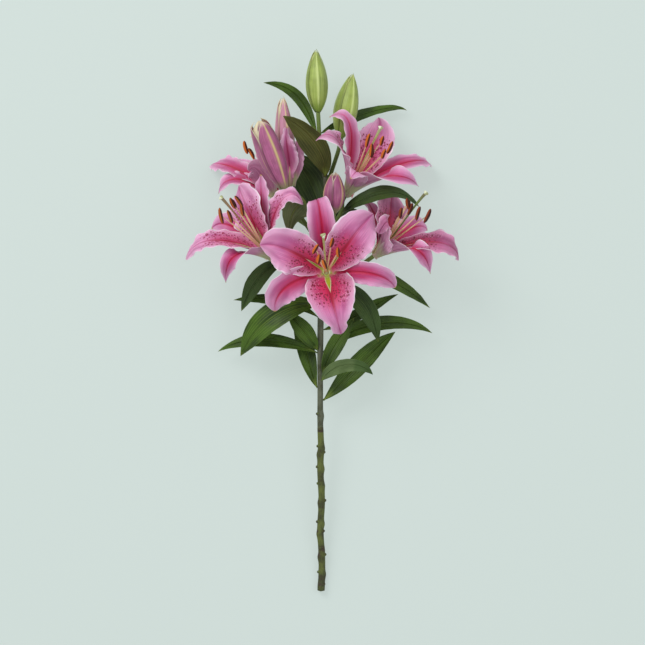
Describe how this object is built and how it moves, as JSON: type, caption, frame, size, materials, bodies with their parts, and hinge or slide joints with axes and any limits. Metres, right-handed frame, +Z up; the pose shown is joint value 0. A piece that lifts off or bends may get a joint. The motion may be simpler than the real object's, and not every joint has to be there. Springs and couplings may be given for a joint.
{
  "type": "cut lily stem",
  "caption": "Cut oriental lily lying down: a bare lower stem, twenty leaves, five open pink blooms and five buds.",
  "frame": {"origin": "middle of the bounding box on the surface the stem lies on", "axes": "+Y along the stem from the cut end to the buds, +Z up from the surface, +X to the right seen from above with the buds away"},
  "size_m": [0.3628, 0.7346, 0.1609],
  "materials": {
    "stem": "matt living stem",
    "tepal": "soft satin petal",
    "stamen": "powdery anther on a smooth filament",
    "green_bud": "satin bud",
    "pink_bud": "satin bud",
    "leaf": "semi-gloss leaf"
  },
  "bodies": {
    "root": {"stem": "stem", "bloom_front_tepals": "tepal", "bloom_front_stamens": "stamen", "bloom_left_tepals": "tepal", "bloom_left_stamens": "stamen", "bloom_right_tepals": "tepal", "bloom_right_stamens": "stamen", "bloom_upper_right_tepals": "tepal", "bloom_upper_right_stamens": "stamen", "bloom_upper_left_tepals": "tepal", "bloom_upper_left_stamens": "stamen", "bud_top": "green_bud", "bud_right": "green_bud", "bud_large": "pink_bud", "bud_behind": "pink_bud", "bud_small": "pink_bud", "leaf_01": "leaf", "leaf_02": "leaf", "leaf_03": "leaf", "leaf_04": "leaf", "leaf_05": "leaf", "leaf_06": "leaf", "leaf_07": "leaf", "leaf_08": "leaf", "leaf_09": "leaf", "leaf_10": "leaf", "leaf_11": "leaf", "leaf_12": "leaf", "leaf_13": "leaf", "leaf_14": "leaf", "leaf_15": "leaf", "leaf_16": "leaf", "leaf_17": "leaf", "leaf_18": "leaf", "leaf_19": "leaf", "leaf_20": "leaf"}
  },
  "joints": []
}
